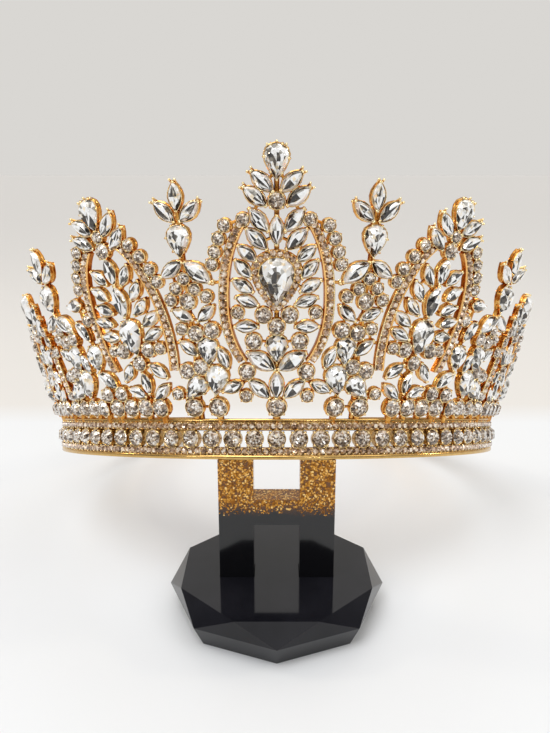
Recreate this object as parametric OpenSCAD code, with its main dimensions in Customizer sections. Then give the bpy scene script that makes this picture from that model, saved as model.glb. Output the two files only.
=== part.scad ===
// Pageant crown of clear cut stones in gilded metal, propped on its display stand.
// The stand's foot is centred on the origin, +Z is up and the crown faces -Y.
// The crown leans back: its front sits on the stand and the ends of its band touch the table.

/* [Band] */
// Outer radius of the band
band_r = 80; // [72:1:88]
// Height of the band
band_h = 11.6; // [10.6:0.2:12.4]
// Thickness of the band
band_t = 2.2; // [1.8:0.1:2.6]
// How far the two plain rims stand out
rim_out = 0.4; // [0.3:0.1:0.6]
// Height of each plain rim
rim_h = 1.2; // [0.8:0.1:1.6]
// Angle from the front to each end of the band
band_reach = 150; // [140:1:156]
// Stones that a full turn of the band would hold
band_count = 80; // [76:2:84]
// Angle from the front to the last stone of the band
row_reach = 101; // [90:1:110]
// Diameter of a band stone
band_stone_d = 4.5; // [4:0.1:4.8]
// Width of the slot between two band stones
slot_w = 1.8; // [1.2:0.1:2]
// Height of that slot
slot_h = 4.8; // [4:0.1:5]

/* [Wall] */
// Height of the centre motif along the wall
centre_h = 76; // [70:1:84]
// Height of the spire beside it
spire_h = 68.5; // [64:0.5:74]
// Height of the second arch
arch_h = 66; // [62:1:72]
// Slope of the wall away from the crown's axis
flare = 19.5; // [14:0.5:22]
// Thickness of the pierced wall
wall_t = 1.6; // [1.2:0.1:1.8]
// How far the cast relief stands in front of the wall
relief = 1.1; // [0.8:0.1:1.6]
// Angle between neighbouring motifs
motif_step = 15.5; // [15:0.1:16]
// Metal round each stone
rim = 0.5; // [0.4:0.05:0.6]
// Width of the metal rail of an arch, with its row of tiny stones
rail_w = 3.1; // [2.6:0.1:3.4]

/* [Stones] */
// Length of the centre pear
main_pear_l = 12.6; // [11:0.1:13]
// Width of the centre pear
main_pear_w = 9; // [8:0.1:9.4]
// Length of a crest pear
crest_pear_l = 8.6; // [7.6:0.1:9]
// Width of a crest pear
crest_pear_w = 6; // [5:0.1:6.2]
// Length of a second arch's pear
arch_pear_l = 10; // [9:0.1:10.4]
// Width of a second arch's pear
arch_pear_w = 7; // [6:0.1:7.2]
// Length of a spire pear
pear_l = 8.2; // [7:0.1:8.4]
// Width of a spire pear
pear_w = 6; // [5:0.1:6.2]
// Length of a small pear
drop_l = 7.3; // [6.4:0.1:7.5]
// Width of a small pear
drop_w = 5.3; // [4.6:0.1:5.4]
// Length of a large leaf stone
long_l = 8.8; // [8:0.1:9]
// Width of a large leaf stone
long_w = 4.3; // [3.6:0.1:4.4]
// Length of a leaf stone
leaf_l = 7.4; // [6.6:0.1:7.6]
// Width of a leaf stone
leaf_w = 3.4; // [2.8:0.1:3.5]
// Length of a small leaf stone
small_l = 6.2; // [5.4:0.1:6.4]
// Width of a small leaf stone
small_w = 2.9; // [2.4:0.1:3]
// Diameter of a large round
large_d = 4.8; // [4.2:0.1:5]
// Diameter of a middle round
middle_d = 3.9; // [3.4:0.1:4]
// Diameter of a small round
tiny_d = 2.9; // [2.4:0.1:3]
// Height of a stone over its width
stone_rise = 0.34; // [0.26:0.02:0.4]
// Size of a stone's table over the size of the stone
table_share = 0.6; // [0.5:0.02:0.66]
// Gap between a stone and the metal under it
stone_gap = 0.12; // [0.1:0.01:0.2]

/* [Stand] */
// Height of the band's front edge above the table
seat_h = 50; // [44:1:56]
// Width of the upright
upright_w = 33.7; // [30:0.5:40]
// Thickness of the upright
upright_t = 7.2; // [6:0.2:10]
// Width of the gap between its legs
leg_gap = 13.4; // [10:0.2:16]
// Height of the underside of the crossbar
bar_bottom = 29; // [24:0.5:32]
// Height of the top of the crossbar
bar_top = 37; // [34:0.5:40]
// Front face of the upright, in front of the foot's centre
upright_front = 5.7; // [4:0.1:7]
// How far the prongs reach up inside the band
lip_h = 2; // [1:0.1:2.4]
// Corner radius of the flat top of the foot
top_r = 30; // [28:0.5:31]
// Corner radius of the foot at its widest
girdle_r = 32.5; // [32.5:0.5:36]
// Corner radius of the underside
under_r = 29.3; // [26:0.1:31]
// Height of the foot
foot_h = 12; // [10:0.5:16]
// Height of the widest edge of the foot
girdle_h = 6.5; // [5:0.5:8]
// Depth of the socket for the upright
socket_h = 3; // [2:0.5:4]
// Clearance between pieces of the stand, and between it and the crown
fit_gap = 0.12; // [0.1:0.01:0.2]

/* [Hidden] */
band_in = band_r - band_t;
band_pitch = 360 / band_count;
// The crown leans back until the ends of its band touch the table.
crown_tilt = asin(seat_h / (band_r * (1 + cos(180 - band_reach))));
seat_y = -upright_front - 1;
// Back of the wall where it leaves the band, with its foot inside the band's metal
wall_in = band_in + 0.6;
wall_foot = band_h - 0.8;
wall_sink = 1.2;

// Sizes at which the stones below have just the size that is listed for them
layout_r = 80;
layout_h = 76;
layout_arch_h = 66;
layout_pitch = 9;
crowd = min(1, band_r / layout_r, centre_h / layout_h);
spread = max(band_r / layout_r, centre_h / layout_h, arch_h / layout_arch_h) / crowd;

// Stone kinds: form, length, width
MAIN = ["pear", main_pear_l, main_pear_w];
CREST = ["pear", crest_pear_l, crest_pear_w];
ARCHED = ["pear", arch_pear_l, arch_pear_w];
PEAR = ["pear", pear_l, pear_w];
DROP = ["pear", drop_l, drop_w];
LONG = ["leaf", long_l, long_w];
LEAF = ["leaf", leaf_l, leaf_w];
SMALL = ["leaf", small_l, small_w];
LARGE = ["round", large_d, large_d];
MIDDLE = ["round", middle_d, middle_d];
TINY = ["round", tiny_d, tiny_d];

// Rows of a motif: kind, side (degrees from its axis), up (percent of its height),
// turn (degrees away from upright, towards the same side)
CENTRE_ROWS = [
    [CREST, 0, 94, 0],
    [LEAF, 2.2, 87.5, 48],
    [LEAF, 3.3, 82.5, 51],
    [MIDDLE, 0, 81, 0],
    [LEAF, 2.8, 74.5, 40],
    [LEAF, 0, 71, 0],
    [LEAF, 3.2, 68, 45],
    [SMALL, 4.8, 63, 50],
    [SMALL, 5.5, 57.5, 42],
    [SMALL, 5.7, 51.5, 60],
    [SMALL, 5.1, 46, 70],
    [MAIN, 0, 53, 0],
    [TINY, 6.8, 42, 0],
    [MIDDLE, 2.3, 41, 0],
    [MIDDLE, 0, 36.9, 0],
    [SMALL, 5.4, 36.8, 90],
    [MIDDLE, 4.2, 31.4, 0],
    [DROP, 0, 28.6, 0],
    [LONG, 2.9, 24, 57],
    [MIDDLE, 5.65, 20, 0],
    [LEAF, 0, 14.9, 0],
    [SMALL, 8.2, 14.1, 113],
    [LEAF, 3.4, 13.4, 48],
    [TINY, 6, 10.7, 0],
    [TINY, 5.2, 74.7, 0],
    [TINY, 7.9, 72.7, 0],
    [TINY, 9, 68.3, 0],
    [TINY, 9.8, 63.8, 0],
    [TINY, 10.4, 59.5, 0],
];
SPIRE_ROWS = [
    [LEAF, 0, 93, 0],
    [LEAF, 2.1, 87.5, 42],
    [LEAF, -2.1, 87, -50],
    [PEAR, 0.3, 75.8, 0],
    [LEAF, 2.2, 64.8, 122],
    [LONG, -2.4, 63.2, -130],
    [TINY, 0.1, 61, 0],
    [TINY, 1.8, 57.2, 0],
    [TINY, -1.6, 56.6, 0],
    [TINY, 3, 52.6, 0],
    [MIDDLE, -0.1, 51.8, 0],
    [TINY, -3.6, 53.4, 0],
    [SMALL, 1.2, 46.4, 63],
    [SMALL, -3.2, 46.6, -50],
    [TINY, 1.7, 40.6, 0],
    [MIDDLE, -0.9, 38.6, 0],
    [MIDDLE, -4, 39.6, 0],
    [SMALL, 0.8, 32.6, 48],
    [DROP, -2.9, 31, 0],
    [SMALL, -5.8, 28.1, 22],
    [MIDDLE, -1.2, 24.4, 0],
    [MIDDLE, 1.7, 22.8, 0],
    [DROP, 0.5, 15.4, -45],
    [PEAR, -4.1, 18.6, -10],
    [TINY, 4.3, 13, 0],
];
ARCH_ROWS = [
    [CREST, 0, 93.5, 0],
    [LEAF, 2.7, 88.6, 45],
    [TINY, 0, 84, 0],
    [LEAF, 3.7, 82.2, 52],
    [MIDDLE, 0, 77.8, 0],
    [LEAF, 0, 68.8, 0],
    [SMALL, 2.9, 66.6, 40],
    [SMALL, 4.1, 59.6, 45],
    [LONG, 0, 55.4, 0],
    [SMALL, 4.2, 52.4, 58],
    [SMALL, 5.3, 46.8, 62],
    [ARCHED, 0, 39.4, 0],
    [SMALL, 4.9, 40.2, 73],
    [MIDDLE, 3.1, 33.6, 0],
    [TINY, 5.4, 34, 0],
    [MIDDLE, 0, 27.8, 0],
    [SMALL, 3.6, 23.8, 138],
    [SMALL, 0, 18.6, 0],
    [SMALL, 3, 14.4, 57],
    [TINY, 5.9, 78.8, 0],
    [TINY, 7, 73.5, 0],
    [TINY, 8.1, 68, 0],
    [TINY, 8.7, 62.6, 0],
];
// The low field that fills the gap between the second arch and the spire behind it
FILL_ROWS = [
    [LEAF, 0.5, 90, 80],
    [TINY, -1.6, 78, 0],
    [LEAF, 0.5, 70.5, 30],
    [DROP, -0.2, 50, 0],
    [LEAF, -1.3, 33, 42],
    [MIDDLE, -3.7, 22.4, 0],
    [MIDDLE, 0.3, 21.8, 0],
];

// Motifs on each side of the crown: rows, whether they are in pairs, azimuth of the foot in steps,
// lean from foot to tip in degrees, height, and the stretch that a lower motif leaves out (from, to)
fill_share = 0.6;
CENTRE = [CENTRE_ROWS, true, 0, 0, centre_h, 0, 0];
SIDES = [
    [SPIRE_ROWS, false, 1, 0, spire_h, 0, 0],
    [ARCH_ROWS, true, 1.63, 6.5, arch_h, 0, 0],
    [FILL_ROWS, false, 2.36, 3.7, fill_share * spire_h, 0, 0],
    [SPIRE_ROWS, false, 3.03, 3.2, spire_h, 0.42, 0.585],
    [ARCH_ROWS, true, 3.8, 7, arch_h, 0.33, 0.65],
    [SPIRE_ROWS, false, 5, 0, spire_h, 0.21, 0.655],
];

// Rails of the arches: azimuth of the foot in steps, lean in degrees, greatest half width in degrees,
// height of the widest place, reach above it and below it, lower end and upper end (shares of the height)
CENTRE_RAIL = [0, 0, 8.5, 0.435, 0.37, 0.265, 0.24, 0.74];
SIDE_RAILS = [
    [1.63, 6.5, 7.5, 0.44, 0.375, 0.4, 0.24, 0.78],
    [3.8, 7, 6.6, 0.2, 0.36, 0.3, 0.12, 0.5],
];

// Rounds that stand on the band: azimuths in steps near the front, then evenly to the last one
FOOT_NEAR = [0.745, 1.08];
FOOT_FAR = [for (k = [1.54 : 0.255 : 5.7]) k];
// Flat panels of the wall on each side of the centre one
panels = 6;
motif_panels = 5;
foot_up = large_d / 2 + 2.4;
FOOT_AZ = concat(FOOT_NEAR, FOOT_FAR) * motif_step;

// Places: kind, azimuth, height along the wall, turn
function shifted(s, h, from, to) = s > to * h ? s - (to - from) * h : s;
function left_out(s, h, from, to) = s > from * h && s <= to * h;
function wall_r(s) = band_r + s * sin(flare);
function lean_turn(lean, h) = atan(lean * PI / 180 * (band_r + h / 4) / h);
function places(m, side) = [
    for (r = m[0])
        let (s0 = r[2] / 100 * m[4], s = shifted(s0, m[4], m[5], m[6]))
        if (!left_out(s0, m[4], m[5], m[6]))
            for (k = m[1] && r[1] != 0 ? [1, -1] : [1])
                [r[0], side * (m[2] * motif_step + m[3] * s / m[4] + k * r[1] * wall_r(s0) / wall_r(s)), s,
                 side * (k * r[3] + lean_turn(m[3], m[4]))]
];
FEET = concat([[LARGE, 0, foot_up, 0]],
    [for (side = [-1, 1]) for (a = FOOT_AZ) [LARGE, side * a, foot_up, 0]]);
WALL = concat(places(CENTRE, 1), [for (side = [-1, 1]) for (m = SIDES) for (p = places(m, side)) p]);
PEARS = [for (p = WALL) if (p[0][0] == "pear" && p[0][1] > drop_l) p];
LEAVES = [for (p = WALL) if (p[0][0] == "leaf" || p[0][1] == drop_l && p[0][0] == "pear") p];
ROUNDS = [for (p = WALL) if (p[0][0] == "round") p];
FOOT_STONES = [for (p = FEET) if (abs(p[1]) < 3.6 * motif_step) p];
front_zone = 1.55 * motif_step;

PEAR_NODES = [for (i = [1 : len(PEARS)]) str("pear_stone_", i)];

// Right half of a form, from top to bottom, as shares of its width and its length. The point of a
// pear is at the bottom. The metal needs fewer corners than the stone that it holds.
function stone_half(form) =
    form == "round" ? [[0.354, 0.354], [0.5, 0], [0.354, -0.354]]
    : form == "leaf" ? [[0.46, 0.15], [0.46, -0.15]]
    : [[0.37, 0.39], [0.5, 0.14], [0.34, -0.18]];
function metal_half(form) =
    form == "round" ? [[0.45, 0.26], [0.45, -0.26]]
    : form == "leaf" ? [[0.6, 0]]
    : [[0.46, 0.28], [0.46, -0.06]];
function outline(l, w, half) = concat([[0, l / 2]], [for (p = half) [w * p[0], l * p[1]]], [[0, -l / 2]],
    [for (i = [len(half) - 1 : -1 : 0]) [-w * half[i][0], l * half[i][1]]]);
function stone_outline(kind) = outline(kind[1] * crowd, kind[2] * crowd, stone_half(kind[0]));
function clear_outline(kind, grow) =
    outline(kind[1] * crowd + 2 * grow, kind[2] * crowd + 2 * grow, stone_half(kind[0]));
function metal_outline(kind, grow) =
    outline(kind[1] * crowd + 2 * grow, kind[2] * crowd + 2 * grow, metal_half(kind[0]));

// Where a flat panel of the wall has the point at an azimuth and a height along the wall
function wall_x(s, a) = (wall_in + s * sin(flare)) * tan(a);

module on_stand() {
    translate([0, seat_y, seat_h]) rotate([-crown_tilt, 0, 0]) translate([0, band_r, 0]) children();
}

// Draws children flat against the wall at an azimuth, the height along the wall as Y
module on_wall(a) {
    rotate([0, 0, a]) translate([0, -wall_in, wall_foot]) rotate([90 + flare, 0, 0]) children();
}

// A flat-backed stone. Each corner of the table stands above the middle of a side of the outline,
// so that two rings of triangular facets surround the table.
module cut_stone(kind) {
    ring = stone_outline(kind);
    n = len(ring);
    rise = stone_rise * kind[2] * crowd;
    table = [for (i = [0 : n - 1]) (ring[i] + ring[(i + 1) % n]) / 2 * table_share];
    points = concat([for (p = ring) [p[0], p[1], 0]], [for (p = table) [p[0], p[1], rise]]);
    polyhedron(points, concat([[for (i = [n - 1 : -1 : 0]) i], [for (i = [0 : n - 1]) n + i]],
        [for (i = [0 : n - 1]) [i, (i + 1) % n, n + i]],
        [for (i = [0 : n - 1]) [(i + 1) % n, n + (i + 1) % n, n + i]]));
}

module wall_stone(p) {
    a0 = round(p[1] / motif_step) * motif_step;
    on_wall(a0) translate([wall_x(p[2], p[1] - a0), p[2], wall_t + stone_gap]) rotate([0, 0, -p[3]])
        cut_stone(p[0]);
}

module settings(a0, spots, grow) {
    for (p = spots)
        if (abs(p[1] - a0) < motif_step)
            translate([wall_x(p[2], p[1] - a0), p[2]]) rotate(-p[3]) polygon(metal_outline(p[0], grow));
}

// Half width of an arch, in degrees, at a share of its height
function arch_half(r, u) = let (x = (u - r[3]) / (u > r[3] ? r[4] : r[5])) r[2] * sqrt(max(0, 1 - x * x));
function rail_points(a0, r, h, side, k, out) = [
    for (i = [0 : rail_steps])
        let (u = r[6] + (r[7] - r[6]) * i / rail_steps, s = u * h)
        [wall_x(s, side * (r[0] * motif_step + r[1] * u + k * arch_half(r, u)) - a0) + side * k * out, s]
];
rail_steps = 6;
module rail(a0, r, h, side, k, from, to) {
    near = rail_points(a0, r, h, side, k, from);
    far = rail_points(a0, r, h, side, k, to);
    polygon(concat(near, [for (i = [rail_steps : -1 : 0]) far[i]]));
}
module rails(a0, from, to) {
    if (abs(a0) < 1.5 * motif_step)
        for (k = [-1, 1]) rail(a0, CENTRE_RAIL, centre_h, 1, k, from, to);
    for (side = [-1, 1]) for (r = SIDE_RAILS)
        if (abs(side * (r[0] + 0.3) * motif_step - a0) < 1.6 * motif_step)
            for (k = [-1, 1]) rail(a0, r, arch_h, side, k, from, to);
}

// The panel's own share of the wall, and what it laps over the next one
module sector(s_from, s_to, lap) {
    half = motif_step / 2;
    polygon([for (e = [[-1, s_from], [1, s_from], [1, s_to], [-1, s_to]])
        [e[0] * (wall_x(e[1], half) + lap), e[1]]]);
}

// Stems stand behind the axis of each motif; bars tie the rails of the arches to the spires.
stem_w = 2;
stem_top = 0.9;
bar_w = 1.3;
BAR_HEIGHTS = [0.36, 0.53];
module strip(a0, spots, w) {
    near = [for (p = spots) [wall_x(p[1], p[0] - a0) - w / 2, p[1]]];
    polygon(concat(near, [for (i = [len(spots) - 1 : -1 : 0]) near[i] + [w, 0]]));
}
module stems(a0) {
    for (side = [-1, 1]) for (m = concat([CENTRE], SIDES)) {
        top = shifted(stem_top * m[4], m[4], m[5], m[6]);
        foot = side * m[2] * motif_step;
        if (abs(foot - a0) < 1.5 * motif_step)
            strip(a0, [[foot, -wall_sink], [foot + side * m[3] * top / m[4], top]], stem_w);
    }
}
module bars(a0) {
    for (side = [-1, 1]) for (r = concat([CENTRE_RAIL], SIDE_RAILS)) for (k = [-1, 1])
        for (u = BAR_HEIGHTS) if (u > r[6] && u < r[7]) {
            h = r == CENTRE_RAIL ? centre_h : arch_h;
            az = side * (r[0] * motif_step + r[1] * u + k * arch_half(r, u)) - a0;
            if (abs(az) < motif_step)
                translate([wall_x(u * h, az) + (side * k > 0 ? 0 : -bar_reach), u * h - bar_w / 2])
                    square([bar_reach, bar_w]);
        }
}
bar_reach = 7;

halo = 2.5;
top_room = 4;
// Metal closer than twice this flows together, and slivers thinner than twice the trim go. A wall
// that spreads its stones further apart bridges wider gaps.
bridge = 1.15 + (spread - 1) * layout_pitch / 2;
trim = 0.4;
module panel_plate(a0, uneven) {
    offset(delta = trim + uneven) offset(delta = -bridge - trim, chamfer = true) offset(delta = bridge)
    intersection() {
        sector(-wall_sink, centre_h + top_room, 0.1);
        union() {
            settings(a0, WALL, rim);
            settings(a0, FEET, rim);
            settings(a0, [for (p = WALL) if (p[0] == MAIN) p], halo);
            rails(a0, -rail_w / 4, rail_w * 3 / 4);
            stems(a0);
            bars(a0);
            for (p = FEET)
                if (abs(p[1] - a0) < motif_step)
                    translate([wall_x(p[2] / 2, p[1] - a0) - large_d / 4, -wall_sink])
                        square([large_d / 2, p[2] + wall_sink]);
        }
    }
}

// The cups of the rounds and the bare inner edges of the rails stand out, clear of the stones beside
relief_gap = 0.2;
relief_inset = 0.06;
module panel_relief(a0, uneven) {
    offset(delta = -0.1) offset(delta = 0.1) difference() {
        intersection() {
            sector(0.2, centre_h + top_room, -0.15);
            offset(delta = -relief_inset) panel_plate(a0, uneven);
            union() {
                settings(a0, ROUNDS, rim - 0.2);
                rails(a0, -rail_w / 4 + 0.15, -rail_w / 4 + 0.8);
            }
        }
        for (p = concat(LEAVES, PEARS))
            if (abs(p[1] - a0) < motif_step)
                translate([wall_x(p[2], p[1] - a0), p[2]]) rotate(-p[3])
                    polygon(clear_outline(p[0], relief_gap));
    }
}

module band() {
    rotate([0, 0, -90 - band_reach]) rotate_extrude(angle = 2 * band_reach, $fn = 48)
        polygon([[band_in, 0], [band_r + rim_out, 0], [band_r + rim_out, rim_h], [band_r, rim_h],
            [band_r, band_h - rim_h], [band_r + rim_out, band_h - rim_h], [band_r + rim_out, band_h],
            [band_in, band_h]]);
}

module crown_frame() {
    color("darkgoldenrod") on_stand() difference() {
        union() {
            band();
            // Each panel differs a little from the next, so that no edge of one lies on the other's
            for (i = [-panels : panels]) let (uneven = i % 2 == 0 ? 0 : 0.07) on_wall(i * motif_step) {
                linear_extrude(wall_t - uneven) panel_plate(i * motif_step, uneven);
                if (abs(i) <= motif_panels)
                    translate([0, 0, 0.3]) linear_extrude(wall_t + relief - 0.3)
                        panel_relief(i * motif_step, uneven);
            }
        }
        for (k = [0.5 : 1 : row_reach / band_pitch]) for (side = [-1, 1])
            rotate([0, 0, side * k * band_pitch])
                translate([-slot_w / 2, -band_r - 1, (band_h - slot_h) / 2])
                    cube([slot_w, band_t + 2, slot_h]);
    }
}

module band_stones() {
    color("whitesmoke") on_stand()
        for (k = [-floor(row_reach / band_pitch) : floor(row_reach / band_pitch)])
            rotate([0, 0, k * band_pitch]) translate([0, -band_r - stone_gap, band_h / 2])
                rotate([90, 0, 0]) cut_stone(["round", band_stone_d, band_stone_d]);
}

module foot_stones() {
    color("whitesmoke") on_stand() for (p = FOOT_STONES) wall_stone(p);
}

module leaf_stones(from, to) {
    color("whitesmoke") on_stand() for (p = LEAVES) if (p[1] > from && p[1] <= to) wall_stone(p);
}

module pear_stone(i) {
    color("whitesmoke") on_stand() wall_stone(PEARS[i]);
}

// An H of one thickness, cut to the lean of the band on top, with a low lip inside the band
module stand_upright() {
    color("black") difference() {
        translate([0, -upright_front + upright_t, foot_h - socket_h + fit_gap]) rotate([90, 0, 0])
            linear_extrude(upright_t) difference() {
                translate([-upright_w / 2, 0]) square([upright_w, seat_h]);
                translate([-leg_gap / 2, -1]) square([leg_gap, bar_bottom - foot_h + socket_h + 1]);
                translate([-leg_gap / 2, bar_top - foot_h + socket_h]) square([leg_gap, seat_h]);
            }
        on_stand() difference() {
            translate([-upright_w, -band_r - upright_w, -fit_gap])
                cube([2 * upright_w, 2 * upright_w, seat_h]);
            translate([0, 0, -1]) cylinder(r = band_in - 2 * fit_gap, h = lip_h + 1, $fn = 180);
        }
    }
}

// A cube that cuts away what lies outside a slanted face: the face passes through (r_low, z_low) and
// (r_high, z_high) of the upright plane at azimuth a
module slanted_cut(a, r_low, z_low, r_high, z_high) {
    slope = atan2(r_high - r_low, z_high - z_low);
    rotate([0, 0, a]) translate([r_low, 0, z_low]) rotate([0, slope, 0])
        translate([0, -girdle_r, -girdle_r]) cube(2 * girdle_r);
}

foot_sides = 8;
module stand_foot() {
    turn = 360 / foot_sides;
    flat = cos(turn / 2);
    color("black") difference() {
        rotate([0, 0, -90]) linear_extrude(foot_h) circle(r = girdle_r, $fn = foot_sides);
        for (i = [0 : foot_sides - 1]) {
            slanted_cut(turn * i, girdle_r, girdle_h, top_r * flat, foot_h);
            slanted_cut(turn * (i + 0.5), under_r * flat, 0, girdle_r * flat, girdle_h);
        }
        for (side = [-1, 1])
            translate([side * (leg_gap + upright_w) / 4 - (upright_w - leg_gap) / 4 - fit_gap,
                -upright_front - fit_gap, foot_h - socket_h])
                cube([(upright_w - leg_gap) / 2 + 2 * fit_gap, upright_t + 2 * fit_gap, socket_h + 1]);
    }
}

crown_frame();
band_stones();
foot_stones();
leaf_stones(-front_zone, front_zone);  // leaf_stones_front
leaf_stones(-180, -front_zone);  // leaf_stones_left
leaf_stones(front_zone, 180);  // leaf_stones_right
for (i = [0 : len(PEARS) - 1]) pear_stone(i);
stand_upright();
stand_foot();
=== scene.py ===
# Looks of the pageant crown and its display stand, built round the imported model.
import math
import random
from collections import namedtuple
from itertools import accumulate

import bpy
from mathutils import Matrix, Vector


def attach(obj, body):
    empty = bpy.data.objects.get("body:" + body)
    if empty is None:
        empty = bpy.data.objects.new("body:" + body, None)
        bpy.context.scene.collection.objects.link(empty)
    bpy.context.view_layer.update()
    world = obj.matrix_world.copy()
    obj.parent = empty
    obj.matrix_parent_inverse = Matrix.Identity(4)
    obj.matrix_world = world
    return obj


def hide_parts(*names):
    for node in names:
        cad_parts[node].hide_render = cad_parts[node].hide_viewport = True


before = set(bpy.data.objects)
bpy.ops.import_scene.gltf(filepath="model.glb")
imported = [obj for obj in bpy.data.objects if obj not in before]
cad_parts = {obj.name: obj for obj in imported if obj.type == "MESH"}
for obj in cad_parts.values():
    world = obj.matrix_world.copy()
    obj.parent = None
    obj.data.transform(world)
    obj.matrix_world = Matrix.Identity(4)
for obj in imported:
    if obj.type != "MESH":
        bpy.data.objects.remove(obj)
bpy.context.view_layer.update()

MM = 0.001
TURN = 2 * math.pi
LEFT_RIGHT = (-1, 1)
dice = random.Random(41)


def rad(degrees):
    return math.radians(degrees)


# Sizes of the crown, in mm: the band, the wall on it, and where the band rests on the stand
BAND_R, BAND_H, BAND_T = 80.0, 11.6, 2.2
BAND_IN = BAND_R - BAND_T
WALL_IN, WALL_FOOT, WALL_T = BAND_IN + 0.6, BAND_H - 0.8, 1.6
STONE_GAP = 0.12
FOOT_UP = 4.8
CENTRE_H, SPIRE_H, ARCH_H = 76.0, 68.5, 66.0
FILL_H = 0.6 * SPIRE_H
SEAT_H, SEAT_Y = 50.0, -6.7

# Degrees round the crown: half the band, half its row of stones, its pitch and one panel of the wall
BAND_REACH, ROW_REACH = 150.0, 101.0
BAND_PITCH = 4.5
STEP = 15.5
FRONT_ZONE = 1.55 * STEP
ZONES = (("front", -FRONT_ZONE, FRONT_ZONE), ("left", -180, -FRONT_ZONE), ("right", FRONT_ZONE, 180))

# The wall's flare and the crown's lean on its stand, in radians
FLARE = rad(19.5)
TILT = math.asin(SEAT_H / (BAND_R * (1 + math.cos(rad(180 - BAND_REACH)))))

# Stone kinds, in mm
Kind = namedtuple("Kind", "form length width")
MAIN = Kind("pear", 12.6, 9.0)
CREST = Kind("pear", 8.6, 6.0)
ARCHED = Kind("pear", 10.0, 7.0)
PEAR = Kind("pear", 8.2, 6.0)
DROP = Kind("pear", 7.3, 5.3)
LONG = Kind("leaf", 8.8, 4.3)
LEAF = Kind("leaf", 7.4, 3.4)
SMALL = Kind("leaf", 6.2, 2.9)
LARGE = Kind("round", 4.8, 4.8)
BANDED = Kind("round", 4.5, 4.5)
MIDDLE = Kind("round", 3.9, 3.9)
TINY = Kind("round", 2.9, 2.9)
RAIL_SEED = Kind("round", 2.2, 2.2)
BAND_SEED = Kind("round", 2.15, 2.15)
HALO_SEED = Kind("round", 2.05, 2.05)

# Rows of a motif: kind, degrees to the side, percent of its height, degrees away from upright
CENTRE_ROWS = (
    (CREST, 0, 94, 0), (LEAF, 2.2, 87.5, 48), (LEAF, 3.3, 82.5, 51), (MIDDLE, 0, 81, 0),
    (LEAF, 2.8, 74.5, 40), (LEAF, 0, 71, 0), (LEAF, 3.2, 68, 45), (SMALL, 4.8, 63, 50),
    (SMALL, 5.5, 57.5, 42), (SMALL, 5.7, 51.5, 60), (SMALL, 5.1, 46, 70), (MAIN, 0, 53, 0),
    (TINY, 6.8, 42, 0), (MIDDLE, 2.3, 41, 0), (MIDDLE, 0, 36.9, 0), (SMALL, 5.4, 36.8, 90),
    (MIDDLE, 4.2, 31.4, 0), (DROP, 0, 28.6, 0), (LONG, 2.9, 24, 57), (MIDDLE, 5.65, 20, 0),
    (LEAF, 0, 14.9, 0), (SMALL, 8.2, 14.1, 113), (LEAF, 3.4, 13.4, 48), (TINY, 6, 10.7, 0),
    (TINY, 5.2, 74.7, 0), (TINY, 7.9, 72.7, 0), (TINY, 9, 68.3, 0), (TINY, 9.8, 63.8, 0),
    (TINY, 10.4, 59.5, 0),
)
SPIRE_ROWS = (
    (LEAF, 0, 93, 0), (LEAF, 2.1, 87.5, 42), (LEAF, -2.1, 87, -50), (PEAR, 0.3, 75.8, 0),
    (LEAF, 2.2, 64.8, 122), (LONG, -2.4, 63.2, -130), (TINY, 0.1, 61, 0), (TINY, 1.8, 57.2, 0),
    (TINY, -1.6, 56.6, 0), (TINY, 3, 52.6, 0), (MIDDLE, -0.1, 51.8, 0), (TINY, -3.6, 53.4, 0),
    (SMALL, 1.2, 46.4, 63), (SMALL, -3.2, 46.6, -50), (TINY, 1.7, 40.6, 0), (MIDDLE, -0.9, 38.6, 0),
    (MIDDLE, -4, 39.6, 0), (SMALL, 0.8, 32.6, 48), (DROP, -2.9, 31, 0), (SMALL, -5.8, 28.1, 22),
    (MIDDLE, -1.2, 24.4, 0), (MIDDLE, 1.7, 22.8, 0), (DROP, 0.5, 15.4, -45), (PEAR, -4.1, 18.6, -10),
    (TINY, 4.3, 13, 0),
)
ARCH_ROWS = (
    (CREST, 0, 93.5, 0), (LEAF, 2.7, 88.6, 45), (TINY, 0, 84, 0), (LEAF, 3.7, 82.2, 52),
    (MIDDLE, 0, 77.8, 0), (LEAF, 0, 68.8, 0), (SMALL, 2.9, 66.6, 40), (SMALL, 4.1, 59.6, 45),
    (LONG, 0, 55.4, 0), (SMALL, 4.2, 52.4, 58), (SMALL, 5.3, 46.8, 62), (ARCHED, 0, 39.4, 0),
    (SMALL, 4.9, 40.2, 73), (MIDDLE, 3.1, 33.6, 0), (TINY, 5.4, 34, 0), (MIDDLE, 0, 27.8, 0),
    (SMALL, 3.6, 23.8, 138), (SMALL, 0, 18.6, 0), (SMALL, 3, 14.4, 57), (TINY, 5.9, 78.8, 0),
    (TINY, 7, 73.5, 0), (TINY, 8.1, 68, 0), (TINY, 8.7, 62.6, 0),
)
FILL_ROWS = (
    (LEAF, 0.5, 90, 80), (TINY, -1.6, 78, 0), (LEAF, 0.5, 70.5, 30), (DROP, -0.2, 50, 0),
    (LEAF, -1.3, 33, 42), (MIDDLE, -3.7, 22.4, 0), (MIDDLE, 0.3, 21.8, 0),
)
# A pear or leaf above this percent of its motif's height is at the rim of the crown and gets prongs,
# but not in the low field, whose top other motifs hide
TIP_PERCENT = 80

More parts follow.
